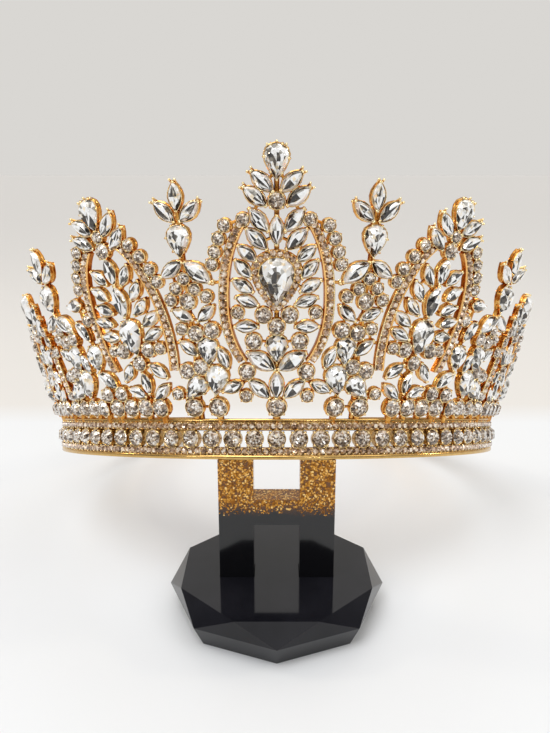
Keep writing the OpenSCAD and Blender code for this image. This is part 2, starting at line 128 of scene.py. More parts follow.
# Motifs: rows, the same on both sides or not, foot in steps from the middle, lean in degrees, height,
# and the share of the height that is left out (from, to)
Motif = namedtuple("Motif", "rows paired foot lean height cut_from cut_to")
CENTRE = Motif(CENTRE_ROWS, True, 0, 0, CENTRE_H, 0, 0)
SIDE_MOTIFS = (
    Motif(SPIRE_ROWS, False, 1, 0, SPIRE_H, 0, 0),
    Motif(ARCH_ROWS, True, 1.63, 6.5, ARCH_H, 0, 0),
    Motif(FILL_ROWS, False, 2.36, 3.7, FILL_H, 0, 0),
    Motif(SPIRE_ROWS, False, 3.03, 3.2, SPIRE_H, 0.42, 0.585),
    Motif(ARCH_ROWS, True, 3.8, 7, ARCH_H, 0.33, 0.65),
    Motif(SPIRE_ROWS, False, 5, 0, SPIRE_H, 0.21, 0.655),
)

# Rails of the arches: height of the motif, foot in steps, lean and half width in degrees, then, as
# shares of the height, the widest place, the reach above and below it, and the lower and upper end
Rail = namedtuple("Rail", "height foot lean half widest above below low high")
CENTRE_RAIL = Rail(CENTRE_H, 0, 0, 8.5, 0.435, 0.37, 0.265, 0.24, 0.74)
SIDE_RAILS = (
    Rail(ARCH_H, 1.63, 6.5, 7.5, 0.44, 0.375, 0.4, 0.24, 0.78),
    Rail(ARCH_H, 3.8, 7, 6.6, 0.2, 0.36, 0.3, 0.12, 0.5),
)
RAIL_STEPS = 40

# Large rounds on the band, in degrees: two by themselves on each side, then an even row
FOOT_AZ = [k * STEP for k in [0.745, 1.08] + [1.54 + 0.255 * i for i in range(17)]]


# Places on the crown
def move(x, y, z):
    return Matrix.Translation((x, y, z))


def spin(degrees, axis):
    return Matrix.Rotation(rad(degrees), 4, axis)


ON_STAND = (Matrix.Scale(MM, 4) @ move(0, SEAT_Y, SEAT_H) @ Matrix.Rotation(-TILT, 4, "X")
            @ move(0, BAND_R, 0))


def on_wall(azimuth):
    return spin(azimuth, "Z") @ move(0, -WALL_IN, WALL_FOOT) @ Matrix.Rotation(rad(90) + FLARE, 4, "X")


def on_band(azimuth, up, out):
    return spin(azimuth, "Z") @ move(0, -BAND_R - out, up) @ spin(90, "X")


def wall_r(up):
    return BAND_R + up * math.sin(FLARE)


def wall_place(azimuth, up, out, turn=0.0):
    """A place on the flat panel of the wall that holds this azimuth"""
    panel = math.floor(azimuth / STEP + 0.5) * STEP
    aside = (WALL_IN + up * math.sin(FLARE)) * math.tan(rad(azimuth - panel))
    return on_wall(panel) @ move(aside, up, out) @ spin(-turn, "Z")


def lean_turn(lean, height):
    """How far a stone turns on the wall to stand in line with a motif that leans"""
    return math.degrees(math.atan(rad(lean) * (BAND_R + height / 4) / height))


# Stones and where they sit
PEAR_BELLY = 0.7698     # the most that sin(t) * sin(t / 2) reaches


class Stone:
    """One stone: its kind, the place of its base and how far round the crown it sits"""

    def __init__(self, kind, place, azimuth=0.0, at_tip=False):
        self.kind, self.place, self.azimuth, self.at_tip = kind, place, azimuth, at_tip
        self.form, self.length, self.width = kind

    def share(self, t):
        """Half the width at an angle from the upper end, as a share of the widest"""
        if self.form == "round":
            return math.sin(t)
        if self.form == "leaf":
            return math.copysign(math.sin(t) ** 2, math.sin(t))
        from_point = math.pi - t
        return math.sin(from_point) * abs(math.sin(from_point / 2)) / PEAR_BELLY

    def ring(self, grow, z, count):
        """Points round the stone's outline, grown outward, at this height"""
        length, width = self.length + 2 * grow, self.width + 2 * grow
        angles = [TURN * i / count for i in range(count)]
        return [Vector((-self.share(t) * width / 2, math.cos(t) * length / 2, z)) for t in angles]


def wall_stone(kind, azimuth, up, turn=0.0, at_tip=False):
    return Stone(kind, wall_place(azimuth, up, WALL_T + STONE_GAP, turn), azimuth, at_tip)


def motif_stones(motif, side):
    """The stones of a motif, closed up where a share of its height is left out"""
    low, high = motif.cut_from * motif.height, motif.cut_to * motif.height
    closed = (motif.cut_to - motif.cut_from) * motif.height
    lean = lean_turn(motif.lean, motif.height)
    stones = []
    for kind, off, percent, turn in motif.rows:
        full = percent / 100 * motif.height
        if low < full <= high:
            continue
        up = full - closed if full > high else full
        at_tip = percent > TIP_PERCENT and kind.form != "round" and motif.rows is not FILL_ROWS
        for k in ((1, -1) if motif.paired and off else (1,)):
            spread = k * off * wall_r(full) / wall_r(up)
            azimuth = side * (motif.foot * STEP + motif.lean * up / motif.height + spread)
            stones.append(wall_stone(kind, azimuth, up, side * (k * turn + lean), at_tip))
    return stones


wall = motif_stones(CENTRE, 1)
for side in LEFT_RIGHT:
    for motif in SIDE_MOTIFS:
        wall += motif_stones(motif, side)
feet = [wall_stone(LARGE, 0, FOOT_UP)]
feet += [wall_stone(LARGE, side * a, FOOT_UP) for side in LEFT_RIGHT for a in FOOT_AZ]
in_row = int(ROW_REACH / BAND_PITCH)
band_row = [Stone(BANDED, on_band(k * BAND_PITCH, BAND_H / 2, STONE_GAP))
            for k in range(-in_row, in_row + 1)]
pears = [s for s in wall if s.form == "pear" and s.kind != DROP]
leaves = [s for s in wall if s.form == "leaf" or s.kind == DROP]
rounds = [s for s in wall if s.form == "round"]


def within(stones, low, high):
    return [s for s in stones if low < s.azimuth <= high]


# A piece in the making
# Painted shade on rods and a painted highlight on beads; faces without a tone of their own sit midway
MID_TONE, ROD_SHADE, BEAD_HIGHLIGHT = 0.5, 0.2, 0.9
SHARP = rad(50)


def circle(radius, z, sides):
    return [Vector((radius * math.cos(TURN * i / sides), radius * math.sin(TURN * i / sides), z))
            for i in range(sides)]


def strip(j, n):
    """Faces between ring j and the next, of n points each"""
    return [[j * n + i, j * n + (i + 1) % n, (j + 1) * n + (i + 1) % n, (j + 1) * n + i]
            for i in range(n)]


class Work:
    """Collects points and faces in the crown's own place, then turns them into one piece"""

    def __init__(self):
        self.points, self.faces, self.tones = [], [], []

    def add(self, place, points, faces, tones):
        first = len(self.points)
        self.points += [place @ p for p in points]
        self.faces += [[first + i for i in f] for f in faces]
        self.tones += tones

    def loft(self, place, rings, caps=(True, True), shades=None, across=None):
        """Skins a row of closed rings, with a tone for each strip (shades) or side of it (across)"""
        n = len(rings[0])
        faces, tones = [], []
        for j in range(len(rings) - 1):
            faces += strip(j, n)
            tones += [shades[j]] * n if shades else across or [MID_TONE] * n
        if caps[0]:
            faces.append(list(range(n - 1, -1, -1)))
        if caps[1]:
            faces.append([(len(rings) - 1) * n + i for i in range(n)])
        tones += [tones[0]] * caps[0] + [tones[-1]] * caps[1]
        self.add(place, [p for r in rings for p in r], faces, tones)

    def rod(self, a, b, radius, sides=6, end=None, tone=ROD_SHADE):
        """A straight rod that may taper to another radius at its end"""
        axis = b - a
        place = Matrix.Translation(a) @ axis.to_track_quat("Z", "Y").to_matrix().to_4x4()
        ends = ((0, radius), (axis.length, end or radius))
        self.loft(place, [circle(r, z, sides) for z, r in ends], shades=[tone])

    def tube(self, path, ups, profile, across=None):
        """Sweeps a profile (side, up) along a path, standing on the given directions"""
        rings = []
        for i, p in enumerate(path):
            forward = (path[min(i + 1, len(path) - 1)] - path[max(i - 1, 0)]).normalized()
            up = (ups[i] - forward * ups[i].dot(forward)).normalized()
            aside = up.cross(forward)
            rings.append([p + aside * u + up * v for u, v in profile])
        self.loft(Matrix(), rings, across=across)

    def bead(self, place, radius, rise, sides=6, levels=3):
        """A dome on a flat base, whose height is the radius times its rise"""
        angles = [rad(90) * j / levels for j in range(levels)]
        rings = [circle(radius * math.cos(a), radius * rise * math.sin(a), sides) for a in angles]
        last, top = (levels - 1) * sides, levels * sides
        faces = [list(range(sides - 1, -1, -1))]
        for j in range(levels - 1):
            faces += strip(j, sides)
        faces += [[last + i, last + (i + 1) % sides, top] for i in range(sides)]
        points = [p for r in rings for p in r] + [Vector((0, 0, radius * rise))]
        self.add(place, points, faces, [BEAD_HIGHLIGHT] * len(faces))

    def piece(self, name, finish, slot, *nodes):
        """Cast metal is smooth up to its edges, and a cut stone is flat on each facet"""
        mesh = bpy.data.meshes.new(name)
        mesh.from_pydata([tuple(ON_STAND @ p) for p in self.points], [], self.faces)
        tone = mesh.attributes.new("tone", "FLOAT", "FACE")
        tone.data.foreach_set("value", self.tones)
        mesh.materials.append(finish)
        mesh.update()
        made = bpy.data.objects.new(name, mesh)
        bpy.context.scene.collection.objects.link(made)
        if slot == "clear_stone":
            mesh.shade_flat()
        else:
            mesh.shade_smooth()
            mesh.set_sharp_from_angle(angle=SHARP)
        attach(made, "root")
        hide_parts(*nodes)


# Stone cutting
STONE_LAP = 0.2         # how far a girdle reaches past the stone's open outline, under its setting
GIRDLE = 16             # points round a cut stone
SEED_SIDES = 8          # points round a tiny one
SEED_INSET = 0.2        # its table's inset, as a share of its width

# Rings of a cut stone above its bottom: inset as a share of its width, height as a share of its rise
BELT_AT, STAR_AT, TABLE_AT, KEEL_AT = (0, 0.14), (0.12, 0.66), (0.225, 1), (0.36, 0.97)
MID_AT = 0.9

# Tones of the painted reflections on the facets, from 0, dark, to 1, bright, and how far chance moves
# them and the painted light from the side
BACK_TONE, FACE_TONE = 0.3, 0.55
SIDE_LIGHT = Vector((0.5, 0.86, 0))
TONE_DRIFT, LIGHT_DRIFT = 0.1, 0.7

# Sectors with a painted reflection tone of their own, and how far the painted reflections of neighbouring
# slivers differ, by the stone's form
SECTORS = {"round": 8, "leaf": 4, "pear": 8}
SLIVERS = {"round": 0.18, "leaf": 0.0, "pear": 0.18}

# Cuts: rise as a share of the width, painted light from the side, contrast of the painted reflections in
# the sectors, painted shade of the heart
Cut = namedtuple("Cut", "rise side_light contrast heart")
MAIN_CUT = Cut(0.34, 0.21, 0.5, -0.4)
PEAR_CUT = Cut(0.34, 0.21, 0.5, -0.2)
LEAF_CUT = Cut(0.36, 0.175, 0.55, -0.16)
ROUND_CUT = Cut(0.36, 0.105, 0.35, 0.0)


def cut_stone(work, stone, cut, base):
    """Brilliant cut whose facets carry painted reflections, its table split into light and dark slivers,
    with a painted light from one side
    """
    rise = cut.rise * stone.width
    count, sliver = SECTORS[stone.form], SLIVERS[stone.form]

    def level(inset, height):
        return stone.ring(STONE_LAP - inset * stone.width, base + height * rise, GIRDLE)

    rings = [level(0, 0), level(*BELT_AT), level(*STAR_AT)[1::2], level(*TABLE_AT), level(*KEEL_AT),
             [Vector((0, 0, base + MID_AT * rise))]]
    bottom, belt, star, table, keel, mid = accumulate([0] + [len(r) for r in rings[:-1]])
    points = [p for r in rings for p in r]
    faces, tones = [list(range(GIRDLE - 1, -1, -1))], [BACK_TONE]
    light = SIDE_LIGHT.copy()
    light.rotate(Matrix.Rotation(dice.uniform(-LIGHT_DRIFT, LIGHT_DRIFT), 3, "Z"))

    def deal():
        """One painted reflection tone for each sector, from dark to bright, in any order"""
        picks = [cut.contrast * (2 * k / (count - 1) - 1) for k in range(count)]
        dice.shuffle(picks)
        return picks

    def facet(indices, picks, i, extra=0.0):
        faces.append(indices)
        centre = sum((points[j] for j in indices), Vector()) / len(indices)
        outward = Vector((centre.x, centre.y, 0)).normalized()
        tone = FACE_TONE + picks[i * count // GIRDLE] + cut.side_light * outward.dot(light) + extra
        tones.append(min(1, max(0, tone + dice.uniform(-TONE_DRIFT, TONE_DRIFT))))

    sides, kites, stars, halves, outer, inner = (deal() for _ in range(6))
    for k in range(GIRDLE // 2):
        here, ahead = 2 * k, (2 * k + 2) % GIRDLE
        behind = star + (k - 1) % (GIRDLE // 2)
        facet([belt + here, star + k, table + here, behind], kites, here)
        facet([star + k, table + ahead, table + here + 1], stars, here + 1, sliver)
        facet([star + k, table + here + 1, table + here], stars, here, -sliver)
        facet([star + k, belt + here, belt + here + 1], halves, here, -sliver)
        facet([star + k, belt + here + 1, belt + ahead], halves, here + 1, sliver)
    for i in range(GIRDLE):
        n = (i + 1) % GIRDLE
        facet([bottom + i, bottom + n, belt + n, belt + i], sides, i)
        facet([table + i, table + n, keel + n, keel + i], outer, i, sliver if i % 2 else -sliver)
        facet([keel + i, keel + n, mid], inner, i, cut.heart)
    work.add(stone.place, points, faces, tones)


def seed_stone(work, stone):
    """A tiny round with its facets and a table, each with a painted reflection tone picked at random"""
    table = stone.ring(-SEED_INSET * stone.width, ROUND_CUT.rise * stone.width, SEED_SIDES)
    faces = [list(range(SEED_SIDES - 1, -1, -1)), list(range(SEED_SIDES, 2 * SEED_SIDES))]
    tones = [BACK_TONE, dice.uniform(0.2, 1)] + [dice.uniform(0, 1) for _ in range(SEED_SIDES)]
    work.add(stone.place, stone.ring(0, 0, SEED_SIDES) + table, faces + strip(0, SEED_SIDES), tones)


# Goldwork
CUP_POINTS, BAND_CUP_POINTS, FLANGE_POINTS = 20, 24, 16

# Rings of a setting: how far out of the stone's outline, how far above its base
CUP = ((-0.25, -WALL_T - 0.1), (0.12, -WALL_T + 0.02), (0.36, -0.6), (0.46, 0.05), (0.42, 0.24),
       (0.3, 0.26), (0.2, 0.1), (0.15, -0.05))
HIGH_CUP = ((-0.2, -WALL_T - 0.1), (0.1, -WALL_T + 0.02), (0.34, -0.4), (0.44, 0.3), (0.4, 0.5),
            (0.28, 0.5), (0.2, 0.35), (0.15, 0.1))
BAND_CUP = ((0.1, -BAND_T - 0.1), (0.3, -BAND_T), (0.4, -0.5), (0.44, 0.15), (0.4, 0.3), (0.3, 0.3),
            (0.2, 0.2), (0.15, 0.02))
# Painted shade and highlight on each strip of a setting, from the bottom up: dark low on its side and
# inside its lip, a painted highlight on top of its rim
CUP_SHADES = (0.3, 0.05, 0.25, 0.6, 0.85, 0.45, 0.1)
FLANGE = ((0.1, -1.6), (0.6, -1.6), (0.68, -1.3), (0.64, -0.8), (0.3, -0.62))
# Painted shade on the strips of a flange, from the bottom up
FLANGE_SHADES = (0.3, 0.1, 0.15, 0.3)


def cup(work, stone, levels, count=CUP_POINTS):
    """A setting that comes up round the stone and turns in over its girdle"""
    work.loft(stone.place, [stone.ring(g, z, count) for g, z in levels], shades=CUP_SHADES)


def flange(work, stone):
    """The cast metal round the foot of a setting, which runs into its neighbours'"""
    rings = [stone.ring(g, z, FLANGE_POINTS) for g, z in FLANGE]
    work.loft(stone.place, rings, (True, False), FLANGE_SHADES)


# Claws: degrees round the stone, in steps of a fine ring, and how far out of the girdle that ring is
CLAWS = {"round": (45, 135, 225, 315), "leaf": (18, 162, 198, 342),
         "pear": (20, 78, 128, 180, 232, 282, 340)}
RING_STEP, CLAW_OUT = 5, 0.3

# Radius of a claw's bead, the bead's rise and the rod's radius as shares of it, and the claw's height
CLAW, TINY_CLAW = 0.4, 0.34
CLAW_RISE, CLAW_ROD = 0.95, 0.8
CLAW_HEIGHT, BAND_CLAW_HEIGHT = 0.5, 0.45

# Foot, top and bead of a claw: how far outside that ring, how far up, the last two from its height
CLAW_FOOT, CLAW_TOP, CLAW_SEAT = (0.22, -0.9), (0.2, -0.1), (-0.02, -0.2)


def beside(point, out, spot, height=0.0):
    return point + out * spot[0] + Vector((0, 0, height + spot[1]))


def claws(work, stone, size, height):
    """Short prongs that come up the outside of the setting and end in a bead on the girdle"""
    ring = stone.ring(CLAW_OUT, 0, 360 // RING_STEP)
    for degrees in CLAWS[stone.form]:
        i = degrees // RING_STEP
        point, chord = ring[i], ring[(i + 2) % len(ring)] - ring[i - 2]
        out = Vector((chord.y, -chord.x, 0)).normalized()
        if out.dot(point) < 0:
            out = -out
        foot, top = beside(point, out, CLAW_FOOT), beside(point, out, CLAW_TOP, height)
        work.rod(stone.place @ foot, stone.place @ top, size * CLAW_ROD)
        seat = Matrix.Translation(beside(point, out, CLAW_SEAT, height))
        work.bead(stone.place @ seat, size, CLAW_RISE)


# Prongs at the outer end of a stone: aside as a share of its width, up as a share of half its length,
# degrees of splay
TIP_PRONGS = {"leaf": ((-0.15, 1.02, -25), (0.15, 1.02, 25)),
              "pear": ((-0.36, 0.86, -38), (0.36, 0.86, 38), (0, 1, 0))}

# Radius at their foot, at their end and of their bead, their painted highlight, and where foot and end
# lie
PRONG, PRONG_END, PRONG_BEAD, PRONG_HIGHLIGHT = 0.42, 0.3, 0.4, 0.7
PRONG_BACK, PRONG_DEPTH, PRONG_UP, PRONG_REACH = 0.5, 0.8, 0.4, 0.5


def tip_prongs(work, stone):
    """Prongs that spread from the outer end of a stone at the rim of the crown"""
    for aside, share, splay in TIP_PRONGS[stone.form]:
        x, y = aside * stone.width, (stone.length / 2 + STONE_LAP) * share
        out = Vector((math.sin(rad(splay)), math.cos(rad(splay)), 0))
        foot = Vector((x, y - PRONG_BACK, -PRONG_DEPTH))
        top = Vector((x, y, PRONG_UP)) + out * PRONG_REACH
        work.rod(stone.place @ foot, stone.place @ top, PRONG, end=PRONG_END, tone=PRONG_HIGHLIGHT)
        work.bead(stone.place @ Matrix.Translation(top), PRONG_BEAD, CLAW_RISE)


# Wires between settings: radius, ring of the setting that they start from (out, up), points tried
# round it, sink into the metal, usual and longest gap, and how many settings are tried how far off
WIRE, WIRE_OUT, WIRE_UP = 0.46, 0.15, -0.9
WIRE_POINTS, WIRE_SINK = 24, 0.5
WIRE_REACH, LAST_REACH, TOUCHING = 1.9, 4.5, 1e-4
NEIGHBOURS, NEAR = 9, 13


def wires(work, stones):
    """Solders each setting to its neighbours, or to the nearest where none is close"""
    rings = [[s.place @ p for p in s.ring(WIRE_OUT, WIRE_UP, WIRE_POINTS)] for s in stones]
    centres = [s.place @ Vector((0, 0, WIRE_UP)) for s in stones]
    for i, centre in enumerate(centres):
        apart = [(centre - other).length for other in centres]
        near = sorted((j for j in range(len(stones)) if j != i and apart[j] < NEAR),
                      key=lambda j: apart[j])[:NEIGHBOURS]
        joined = False
        for j in near:
            gap, p, q = min(((u - v).length, m, n) for m, u in enumerate(rings[i])
                            for n, v in enumerate(rings[j]))
            if gap < WIRE_REACH or not joined and gap < LAST_REACH:
                joined = True
                if j > i or gap >= WIRE_REACH:
                    u, v = rings[i][p], rings[j][q]
                    forward = (v - u if gap > TOUCHING else centres[j] - centre).normalized()
                    work.rod(u - forward * WIRE_SINK, v + forward * WIRE_SINK, WIRE)


def rail_azimuth(rail, share, side, k):
    """Degrees round the crown of one rail of an arch, at a share of its height"""
    x = (share - rail.widest) / (rail.above if share > rail.widest else rail.below)
    half = rail.half * math.sqrt(max(0, 1 - x * x))
    return side * (rail.foot * STEP + rail.lean * share + k * half)


def rail_line(rail, side, k, out, z):
    """Points and outward directions along one rail of an arch"""
    path, ups = [], []
    for i in range(RAIL_STEPS + 1):
        share = rail.low + (rail.high - rail.low) * i / RAIL_STEPS
        a = rail_azimuth(rail, share, side, k)
        turned = on_wall(a).to_3x3()
        base = wall_place(a, share * rail.height, 0).to_translation()
        path.append(base + turned @ Vector((side * k * out, 0, z)))
        ups.append(turned @ Vector((0, 0, 1)))
    return path, ups


def arc_path(radius, up, low, high, count):
    """Points and outward directions round the band, between two azimuths"""
    path, ups = [], []
    for i in range(count + 1):
        a = rad(low + (high - low) * i / count)
        outward = Vector((math.sin(a), -math.cos(a), 0))
        path.append(outward * radius + Vector((0, 0, up)))
        ups.append(outward)
    return path, ups


def spaced(path, ups, pitch):
    """Evenly spaced points on a path, with its direction and the one that it stands on"""
    lengths = [0.0]
    for a, b in zip(path, path[1:]):
        lengths.append(lengths[-1] + (b - a).length)
    count = round(lengths[-1] / pitch)
    for n in range(count):
        at = lengths[-1] * (n + 0.5) / count
        i = next(j for j in range(1, len(lengths)) if lengths[j] >= at)
        share = (at - lengths[i - 1]) / (lengths[i] - lengths[i - 1])
        yield path[i - 1].lerp(path[i], share), (path[i] - path[i - 1]).normalized(), ups[i]


def stood(point, forward, up):
    """A place at a point whose Z is up and whose Y runs forward"""
    up = up.normalized()
    y = (forward - up * forward.dot(up)).normalized()
    place = Matrix((y.cross(up), y, up)).transposed().to_4x4()
    place.translation = point
    return place


# Beads between tiny stones: radius, rise as a share of it, height, and place aside in widths of a stone
SEED_BEAD, SEED_BEAD_RISE, SEED_BEAD_UP, SEED_BEAD_ASIDE = 0.27, 0.9, 0.2, 0.4


def seed_row(metal, stones, path, ups, pitch, kind):
    """A row of tiny stones with a pair of beads between neighbours"""
    for point, forward, up in spaced(path, ups, pitch):
        place = stood(point, forward, up)
        seed_stone(stones, Stone(kind, place))
        for side in LEFT_RIGHT:
            seat = place @ move(side * kind.width * SEED_BEAD_ASIDE, pitch / 2, SEED_BEAD_UP)
            metal.bead(seat, SEED_BEAD, SEED_BEAD_RISE, sides=5, levels=2)


def half_round(half, rise, depth, step):
    """A rounded top on straight flanks that reach down by the depth"""
    top = [(half * math.cos(rad(a)), rise * math.sin(rad(a))) for a in range(0, 181, step)]
    return top + [(-half, -depth), (half, -depth)]


# Profiles of the rails (aside, up), with tones that paint a highlight on top of the curve and shade on
# the flanks and in the channel
HALF_ROUND = half_round(0.42, 0.5, 1.4, 30)
HALF_ROUND_TONES = (0.5, 0.8, 1.0, 1.0, 0.8, 0.5, 0.05, 0.0, 0.05)
LIP = half_round(0.26, 0.3, 0.9, 45)
LIP_TONES = (0.6, 1.0, 1.0, 0.6, 0.05, 0.0, 0.05)
CHANNEL = ((1.05, -0.7), (1.05, 0.95), (-1.05, 0.95), (-1.05, -0.7))
CHANNEL_TONES = (0.05, 0.25, 0.05, 0.0)


# Finishes
class Value:
    """What comes out of a node, with the usual operators for numbers"""

    def __init__(self, nodes, socket):
        self.nodes, self.socket = nodes, socket

    def math(self, operation, a, b):
        return self.nodes.node("ShaderNodeMath", {"operation": operation}, {0: a, 1: b})

    def __add__(self, other):
        return self.math("ADD", self, other)

    def __radd__(self, other):
        return self.math("ADD", other, self)

    def __sub__(self, other):
        return self.math("SUBTRACT", self, other)

    def __rsub__(self, other):
        return self.math("SUBTRACT", other, self)

    def __mul__(self, other):
        return self.math("MULTIPLY", self, other)

    def __rmul__(self, other):
        return self.math("MULTIPLY", other, self)

    def __truediv__(self, other):
        return self.math("DIVIDE", self, other)

    def __rtruediv__(self, other):
        return self.math("DIVIDE", other, self)

    def above(self, other):
        return self.math("GREATER_THAN", self, other)

    def clamped(self):
        return self.nodes.node("ShaderNodeClamp", {}, {"Value": self})


class Nodes:
    """The nodes of one tree, made by type, settings and what goes into their sockets"""

    # Sockets of the Mix node when it mixes colours
    SHARE, FIRST, SECOND, MIXED = 0, 6, 7, 2

    def __init__(self, tree):
        self.tree = tree

    def node(self, kind, settings, inputs, output=0):
        made = self.tree.nodes.new(kind)
        for name, value in settings.items():
            if name == "stops":
                self.set_stops(made.color_ramp, value)
            else:
                setattr(made, name, value)
        for name, value in inputs.items():
            self.feed(made.inputs[name], value)
        return Value(self, made.outputs[output])

    def set_stops(self, ramp, stops):
        while len(ramp.elements) < len(stops):
            ramp.elements.new(1)
        for element, (position, colour) in zip(ramp.elements, stops):
            element.position = position
            element.color = (*colour, 1)

    def feed(self, socket, value):
        if isinstance(value, Value):
            self.tree.links.new(value.socket, socket)
        else:
            socket.default_value = value

    def ramp(self, value, *stops):
        return self.node("ShaderNodeValToRGB", {"stops": stops}, {"Fac": value})

    def blend(self, share, first, second, how="MIX"):
        return self.node("ShaderNodeMix", {"data_type": "RGBA", "blend_type": how},
                         {self.SHARE: share, self.FIRST: first, self.SECOND: second}, self.MIXED)

    def place(self, kind="Object"):
        return self.node("ShaderNodeTexCoord", {}, {}, kind)

    def axis(self, vector, name):
        return self.node("ShaderNodeSeparateXYZ", {}, {"Vector": vector}, name)

    def part(self, colour, name):
        return self.node("ShaderNodeSeparateColor", {}, {"Color": colour}, name)

    def cells(self, scale, distance, output):
        return self.node("ShaderNodeTexVoronoi", {"distance": distance},
                         {"Vector": self.place(), "Scale": scale}, output)

    def noise(self, scale, detail, roughness):
        return self.node("ShaderNodeTexNoise", {}, {"Vector": self.place(), "Scale": scale,
                                                    "Detail": detail, "Roughness": roughness})

    def bump(self, height, strength, distance):
        return self.node("ShaderNodeBump", {}, {"Height": height, "Strength": strength,
                                                "Distance": distance})


class Paint(Nodes):
    """A material and its nodes"""

    def __init__(self, name):
        self.material = bpy.data.materials.new(name)
        self.material.use_nodes = True
        super().__init__(self.material.node_tree)
        self.shader = self.tree.nodes["Principled BSDF"]

    def tone(self):
        """The tone that each face was given as it was made: painted shade and highlight on the metal,
        painted reflections on the stones
        """
        return self.node("ShaderNodeAttribute", {"attribute_name": "tone"}, {}, "Fac")

    def finish(self, **sockets):
        for name, value in sockets.items():
            self.feed(self.shader.inputs[name.replace("_", " ")], value)
        return self.material


def gilding(name, roughness, patches, relief, stops):
    """Gilding with painted shade low down in the casting and painted highlights on its edges and beads"""
    paint = Paint(name)
    cloud = paint.noise(scale=520.0, detail=3.0, roughness=0.6)
    grain = paint.noise(scale=1300.0, detail=2.0, roughness=0.5)
    colour = paint.ramp((paint.tone() + (cloud - 0.5) * patches).clamped(), *stops)
    return paint.finish(Base_Color=colour, Metallic=1.0, Roughness=roughness + grain * 0.14,
                        Normal=paint.bump(grain, relief, 0.22 * MM))


def foiled_glass(name, cell, spread, stops):
    """Foil-backed glass: each facet has its painted reflection tone, broken up by painted reflections of
    the facets seen through it, with some cells tinted gold
    """
    paint = Paint(name)
    inner = paint.cells(1 / (cell * MM), "MANHATTAN", "Color")
    depth = paint.cells(1 / (cell * MM), "MANHATTAN", "Distance")
    glass = paint.ramp((paint.tone() + (paint.part(inner, "Red") - 0.5) * spread).clamped(), *stops)
    gilt = paint.ramp(paint.part(inner, "Green"), (0.84, (1, 1, 1)), (0.94, (1.0, 0.84, 0.6)))
    return paint.finish(Base_Color=paint.blend(1.0, glass, gilt, "MULTIPLY"), Metallic=0.35,
                        Roughness=0.05, Coat_Weight=1.0, Coat_Roughness=0.02, IOR=1.6,
                        Normal=paint.bump(depth, 0.35, 0.2 * cell * MM))


# Each gilding runs from painted shade at tone 0 to painted highlight at tone 1
gold = gilding("polished_gilding", roughness=0.13, patches=1.5, relief=0.55, stops=(
    (0.0, (0.42, 0.14, 0.018)), (0.3, (0.7, 0.34, 0.07)), (0.65, (0.96, 0.64, 0.25)),
    (1.0, (1.0, 0.86, 0.52))))
deep_gold = gilding("deep_gilding", roughness=0.16, patches=1.1, relief=0.4, stops=(
    (0.0, (0.38, 0.11, 0.015)), (0.5, (0.72, 0.32, 0.08)), (1.0, (0.95, 0.58, 0.22))))
band_gold = gilding("band_gilding", roughness=0.15, patches=0.4, relief=0.08, stops=(
    (0.0, (0.4, 0.22, 0.06)), (0.5, (0.74, 0.49, 0.18)), (1.0, (0.98, 0.78, 0.42))))
# Each glass runs from dark to bright painted reflection; on the rounds and seeds the cells of painted
# sparkle are finer and spread wider
clear_glass = foiled_glass("clear_foiled_glass", cell=1.0, spread=0.28, stops=(
    (0.0, (0.012, 0.01, 0.009)), (0.17, (0.07, 0.056, 0.042)), (0.31, (0.3, 0.275, 0.23)),
    (0.46, (0.7, 0.69, 0.65)), (0.6, (0.95, 0.95, 0.94)), (1.0, (1, 1, 1))))
round_glass = foiled_glass("painted_sparkle_foiled_glass", cell=0.5, spread=0.8, stops=(
    (0.0, (0.04, 0.025, 0.016)), (0.3, (0.17, 0.115, 0.075)), (0.6, (0.42, 0.32, 0.235)),
    (0.85, (0.78, 0.69, 0.58)), (1.0, (1, 0.98, 0.94))))
seed_glass = foiled_glass("champagne_foiled_glass", cell=0.5, spread=0.8, stops=(
    (0.0, (0.1, 0.05, 0.025)), (0.35, (0.34, 0.2, 0.115)), (0.7, (0.62, 0.43, 0.28)),
    (1.0, (1, 0.9, 0.76))))

# Where the glitter of the upright starts and over what height it thickens, in metres
GLITTER_FOOT, GLITTER_FADE = 0.0322, 0.004


def glitter_resin():
    """Gold flakes in amber resin at the top, thinning out into black lower down"""
    paint = Paint("glitter_resin")
    flakes = paint.cells(2300.0, "EUCLIDEAN", "Color")
    height = paint.axis(paint.place(), "Z")
    cloud = paint.noise(scale=260.0, detail=3.0, roughness=0.6)
    level = ((height - GLITTER_FOOT) / GLITTER_FADE + (cloud - 0.5) * 1.6).clamped()
    flake = paint.part(flakes, "Red").above(1.02 - level * 0.8)
    ground = paint.blend(level, (0.004, 0.004, 0.005, 1), (0.13, 0.045, 0.006, 1))
    leaf = paint.ramp(paint.part(flakes, "Green"), (0.0, (0.13, 0.045, 0.004)),
                      (0.5, (0.35, 0.13, 0.01)), (0.85, (0.68, 0.33, 0.05)), (1.0, (0.98, 0.68, 0.26)))
    return paint.finish(Base_Color=paint.blend(flake, ground, leaf), Metallic=flake * 0.85,
                        Roughness=0.12 + flake * 0.16, Coat_Weight=0.2, Coat_Roughness=0.03)


def black_resin():
    """Polished black with faint clouds"""
    paint = Paint("black_resin")
    cloud = paint.noise(scale=60.0, detail=3.0, roughness=0.6)
    colour = paint.ramp(cloud, (0.3, (0.004, 0.004, 0.006)), (0.8, (0.012, 0.012, 0.016)))
    return paint.finish(Base_Color=colour, Roughness=0.05 + cloud * 0.05, Coat_Weight=0.1,
                        Coat_Roughness=0.02, Specular_IOR_Level=0.32)


# The stones
FOOT_RAISE, ROUND_RAISE = 0.05, 0.25


def stone_piece(name, finish, node, stones, cut, base=0.0):
    """One piece of stones, which may stand a little above their place"""
    work = Work()
    for stone in stones:
        cut_stone(work, stone, cut, base)
    work.piece(name, finish, "clear_stone", node)


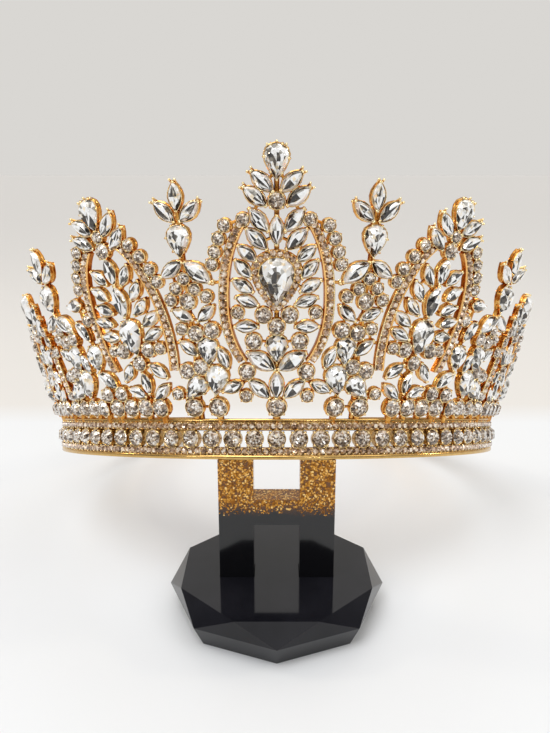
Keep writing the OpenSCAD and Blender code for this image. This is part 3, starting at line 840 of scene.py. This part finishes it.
for i, stone in enumerate(pears):
    stone_piece(f"pear_{i + 1}", clear_glass, f"pear_stone_{i + 1}", [stone],
                MAIN_CUT if stone.kind == MAIN else PEAR_CUT)
for zone, low, high in ZONES:
    stone_piece("leaves_" + zone, clear_glass, "leaf_stones_" + zone, within(leaves, low, high), LEAF_CUT)
stone_piece("foot_rounds", round_glass, "foot_stones", feet, ROUND_CUT, FOOT_RAISE)
stone_piece("wall_rounds", round_glass, "crown_frame", rounds, ROUND_CUT, ROUND_RAISE)
stone_piece("band_rounds", round_glass, "band_stones", band_row, ROUND_CUT)


# The metal of the wall
def settings(zone, stones):
    """Cups with their flanges, and the claws and prongs that hold the stones"""
    cups, prongs = Work(), Work()
    for stone in stones:
        cup(cups, stone, HIGH_CUP if stone.form == "round" else CUP)
        flange(cups, stone)
        claws(prongs, stone, TINY_CLAW if stone.kind == TINY else CLAW, CLAW_HEIGHT)
        if stone.at_tip:
            tip_prongs(prongs, stone)
    cups.piece("settings_" + zone, gold, "gilt_metal", "crown_frame")
    prongs.piece("claws_" + zone, gold, "gilt_metal", "crown_frame")


# Posts under the large rounds and stems up the middle of the motifs: radius, place in the wall, sink
# into the band, and the share of its motif's height that a stem reaches
POST, POST_OUT, POST_SINK = 1.1, 0.6, 0.6
STEM, STEM_OUT, STEM_SINK = 0.7, 0.74, 1.0
STEM_SHARE, STEM_STEPS = 0.9, 8


def posts(work):
    for stone in feet:
        foot = wall_place(stone.azimuth, 0, POST_OUT)
        work.rod(foot @ Vector((0, -POST_SINK, 0)), foot @ Vector((0, FOOT_UP, 0)), POST, sides=8)


def stem(work, motif, side):
    """A stem that bends with its motif, up to a share of its height"""
    top = STEM_SHARE * motif.height - (motif.cut_to - motif.cut_from) * motif.height
    path = []
    for i in range(STEM_STEPS + 1):
        azimuth = side * (motif.foot * STEP + motif.lean * top * i / STEM_STEPS / motif.height)
        place = wall_place(azimuth, top * i / STEM_STEPS, STEM_OUT)
        path.append(place @ Vector((0, 0 if i else -STEM_SINK, 0)))
    for a, b in zip(path, path[1:]):
        work.rod(a, b, STEM)


for zone, low, high in ZONES:
    settings(zone, within(wall + feet, low, high))
work = Work()
wires(work, wall + feet)
posts(work)
for side in LEFT_RIGHT:
    for motif in (CENTRE, *SIDE_MOTIFS):
        stem(work, motif, side)
work.piece("stems_and_wires", gold, "gilt_metal", "crown_frame")

# Rails of the arches: how far each member stands outside the line, and above the wall's inner face
BARE_AT, CHANNEL_AT, LIP_AT, SEEDS_AT = (-0.35, WALL_T), (1.0, 0.75), (2.0, WALL_T), (0.98, 1.72)
RAIL_PITCH = 2.0

# Bars that tie a rail to the next motif, at shares of its height: radius, reach, and the ball on them
BAR_HEIGHTS = (0.36, 0.53)
BAR, BAR_REACH, BAR_OUT = 0.5, 5.4, 0.9
BALL, BALL_REACH, BALL_RISE, BALL_SINK = 1.0, 4.1, 1.15, 0.2


def arch_rail(rail, side, k, bare, channel, seeds):
    """A bare rail with a channel of tiny stones and a lip outside it, and its bars"""
    bare.tube(*rail_line(rail, side, k, *BARE_AT), HALF_ROUND, HALF_ROUND_TONES)
    channel.tube(*rail_line(rail, side, k, *CHANNEL_AT), CHANNEL, CHANNEL_TONES)
    channel.tube(*rail_line(rail, side, k, *LIP_AT), LIP, LIP_TONES)
    seed_row(channel, seeds, *rail_line(rail, side, k, *SEEDS_AT), RAIL_PITCH, RAIL_SEED)
    for share in BAR_HEIGHTS:
        if rail.low < share < rail.high:
            place = wall_place(rail_azimuth(rail, share, side, k), share * rail.height, BAR_OUT)
            end = place @ Vector((side * k * BAR_REACH, 0, 0))
            channel.rod(place.to_translation(), end, BAR, sides=8)
            seat = place @ move(side * k * BALL_REACH, 0, -BALL_SINK)
            channel.bead(seat, BALL, BALL_RISE, sides=10, levels=4)


bare, channel, seeds = Work(), Work(), Work()
for k in LEFT_RIGHT:
    arch_rail(CENTRE_RAIL, 1, k, bare, channel, seeds)
for side in LEFT_RIGHT:
    for rail in SIDE_RAILS:
        for k in LEFT_RIGHT:
            arch_rail(rail, side, k, bare, channel, seeds)
bare.piece("arch_rails", deep_gold, "gilt_metal", "crown_frame")

# Halo of the centre pear: its rings (out, up) with the painted shade and highlight of each strip, and its
# line of tiny stones and their pitch
HALO = ((0.3, -1.6), (2.4, -1.6), (2.5, -0.2), (2.3, 0.1), (0.4, 0.1), (0.3, -0.1), (0.3, -1.6))
HALO_SHADES = (0.3, 0.1, 0.6, 0.3, 0.1, 0.0)
HALO_AT, HALO_PITCH = (1.35, 0.05), 1.9
HALO_POINTS, HALO_LINE_POINTS = 40, 96


def halo(pear, metal, seeds):
    """A raised ring round the pear with a row of tiny stones on it"""
    rings = [pear.ring(g, z, HALO_POINTS) for g, z in HALO]
    metal.loft(pear.place, rings, (False, False), HALO_SHADES)
    path = [pear.place @ p for p in pear.ring(*HALO_AT, HALO_LINE_POINTS)]
    path.append(path[0])
    outward = pear.place.to_3x3() @ Vector((0, 0, 1))
    seed_row(metal, seeds, path, [outward] * len(path), HALO_PITCH, HALO_SEED)


halo(next(s for s in pears if s.kind == MAIN), channel, seeds)

# Profiles of the band (up, out of its face): the rails over and under its row of stones, and the rear
BAND_TONE = 0.32
RIM, BULGE, LEDGE, HOLLOW, NECK = 0.4, 0.2, 0.1, -0.1, -0.4
LOW_TOP, HIGH_FOOT = 3.45, 8.15
LOW_RAIL = ((0, -BAND_T), (LOW_TOP, -BAND_T), (LOW_TOP, NECK), (LOW_TOP - 0.3, HOLLOW), (1.4, HOLLOW),
            (1.3, LEDGE), (1.0, RIM), (0.25, RIM), (0, BULGE))
HIGH_RAIL = ((HIGH_FOOT, -BAND_T), (BAND_H, -BAND_T), (BAND_H, BULGE), (BAND_H - 0.2, RIM),
             (BAND_H - 0.65, RIM), (BAND_H - 0.85, LEDGE), (BAND_H - 0.95, HOLLOW),
             (HIGH_FOOT + 0.3, HOLLOW), (HIGH_FOOT, NECK))
REAR_PLATE = ((3.2, -2.1), (8.4, -2.1), (8.4, -0.3), (3.2, -0.3))
PAVE_UP, PAVE_PITCH, PAVE_SINK = (2.35, 9.45), 2.0, 0.05
PAVE_REACH = ROW_REACH + 1
BAND_STEPS, REAR_STEPS = 160, 40


def band_part(work, profile, low, high, count, across=None):
    """A stretch of the band, swept round it between two azimuths"""
    path, ups = arc_path(BAND_IN, 0, low, high, count)
    work.tube(path, ups, [(up, out + BAND_T) for up, out in profile], across)


def band(channel, seeds):
    """Two rails with the row of stones between them, a plain rear, and a row of seeds on each rail"""
    work = Work()
    for profile in (LOW_RAIL, HIGH_RAIL):
        band_part(work, profile, -BAND_REACH, BAND_REACH, BAND_STEPS, [BAND_TONE] * len(profile))
    for stone in band_row:
        cup(work, stone, BAND_CUP, BAND_CUP_POINTS)
        claws(work, stone, CLAW, BAND_CLAW_HEIGHT)
    start = (in_row + 0.5) * BAND_PITCH
    for low, high in ((start, BAND_REACH), (-BAND_REACH, -start)):
        band_part(work, REAR_PLATE, low, high, REAR_STEPS)
    work.piece("band_metal", band_gold, "gilt_metal", "crown_frame")
    for up in PAVE_UP:
        path, ups = arc_path(BAND_R - PAVE_SINK, up, -PAVE_REACH, PAVE_REACH, BAND_STEPS)
        seed_row(channel, seeds, path, ups, PAVE_PITCH, BAND_SEED)


band(channel, seeds)
channel.piece("seed_settings", gold, "gilt_metal", "crown_frame")
seeds.piece("seed_stones", seed_glass, "clear_stone", "crown_frame")

# The stand
for node, finish in (("stand_upright", glitter_resin()), ("stand_foot", black_resin())):
    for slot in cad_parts[node].material_slots:
        slot.material = finish

# Floor, light and camera, in metres
scene = bpy.context.scene
scene.view_settings.view_transform = "Standard"
TABLE = 6.0
FAR_EDGE, FAR_FADE = 0.16, 0.03
CAMERA, LOOK_DOWN = (0, -0.1994, 0.1318), 15.78
FOCAL, SHIFT = 48.17, -0.0031
DAYLIGHT, DAYLIGHT_SPREAD, DAYLIGHT_TURN = 0.9, rad(35), (rad(22), rad(-14), 0)


def pale_backdrop():
    """Cool white near the stand and a warmer grey further back"""
    paint = Paint("pale_backdrop")
    cloud = paint.noise(scale=6.0, detail=4.0, roughness=0.6)
    depth = (paint.axis(paint.place(), "Y") - FAR_EDGE) / FAR_FADE + (cloud - 0.5) * 0.05
    shade = paint.ramp(depth, (0.0, (0.762, 0.776, 0.795)), (1.0, (0.707, 0.683, 0.653)))
    return paint.finish(Base_Color=shade, Roughness=0.38)


def table_top():
    mesh = bpy.data.meshes.new("table_top")
    corners = [(-TABLE, -TABLE, 0), (TABLE, -TABLE, 0), (TABLE, TABLE, 0), (-TABLE, TABLE, 0)]
    mesh.from_pydata(corners, [], [(0, 1, 2, 3)])
    mesh.materials.append(pale_backdrop())
    floor = bpy.data.objects.new("table_top", mesh)
    scene.collection.objects.link(floor)


# Square lights: name, place, what it shines at, size, power, tint
WARM, PLAIN = (1.0, 0.9, 0.72), (1, 1, 1)
MIDDLE_OF_CROWN, SPARKLE_AT, SPARKLE = (0, 0.02, 0.06), (0, 0.02, 0.08), 0.06
LIGHTS = (
    ("key", (-0.25, -0.35, 0.75), MIDDLE_OF_CROWN, 0.35, 0.65, PLAIN),
    ("fill", (0.5, -0.25, 0.5), MIDDLE_OF_CROWN, 0.3, 0.32, PLAIN),
    ("top", (0.05, 0.15, 0.9), (0, 0.04, 0.06), 0.5, 0.5, PLAIN),
    ("sparkle_1", (-0.5, -0.5, 0.35), SPARKLE_AT, SPARKLE, 0.3, PLAIN),
    ("sparkle_2", (0.25, -0.7, 0.4), SPARKLE_AT, SPARKLE, 0.3, PLAIN),
    ("sparkle_3", (0.6, 0.1, 0.3), SPARKLE_AT, SPARKLE, 0.5, WARM),
    ("sparkle_4", (-0.6, 0.2, 0.45), SPARKLE_AT, SPARKLE, 0.5, WARM),
)


def softbox(name, at, aim, size, power, tint):
    light = bpy.data.lights.new(name, "AREA")
    light.shape, light.size, light.energy, light.color = "SQUARE", size, power, tint
    lamp = bpy.data.objects.new(name, light)
    lamp.location = at
    lamp.rotation_euler = (Vector(aim) - Vector(at)).to_track_quat("-Z", "Y").to_euler()
    scene.collection.objects.link(lamp)


def daylight():
    sky = bpy.data.lights.new("daylight", "SUN")
    sky.energy, sky.angle = DAYLIGHT, DAYLIGHT_SPREAD
    lamp = bpy.data.objects.new("daylight", sky)
    lamp.rotation_euler = DAYLIGHT_TURN
    scene.collection.objects.link(lamp)


def soft_room():
    """A room that is pale along the horizon, behind the object and overhead, and dim at the front"""
    pale, dim = (0.694, 0.678, 0.651), (0.1, 0.1, 0.1)
    world = bpy.data.worlds.new("soft_room")
    world.use_nodes = True
    room = Nodes(world.node_tree)
    direction = room.place("Generated")
    ahead = room.ramp(room.axis(direction, "Y"), (0.0, dim), (0.12, (0.44, 0.43, 0.41)), (0.4, pale))
    overhead = room.ramp(room.axis(direction, "Z"), (0.2, pale), (0.3, dim), (0.45, dim),
                         (0.75, (0.96, 0.955, 0.95)))
    light = room.blend(1.0, ahead, overhead, "LIGHTEN")
    room.feed(room.tree.nodes["Background"].inputs["Color"], light)
    scene.world = world


def camera():
    lens = bpy.data.cameras.new("camera")
    lens.sensor_fit, lens.sensor_width, lens.lens = "HORIZONTAL", 36.0, FOCAL
    lens.shift_x = SHIFT
    lens.clip_start = 0.01
    made = bpy.data.objects.new("camera", lens)
    made.location = CAMERA
    made.rotation_euler = (rad(90 - LOOK_DOWN), 0, 0)
    scene.collection.objects.link(made)
    scene.camera = made


table_top()
for light in LIGHTS:
    softbox(*light)
daylight()
soft_room()
camera()
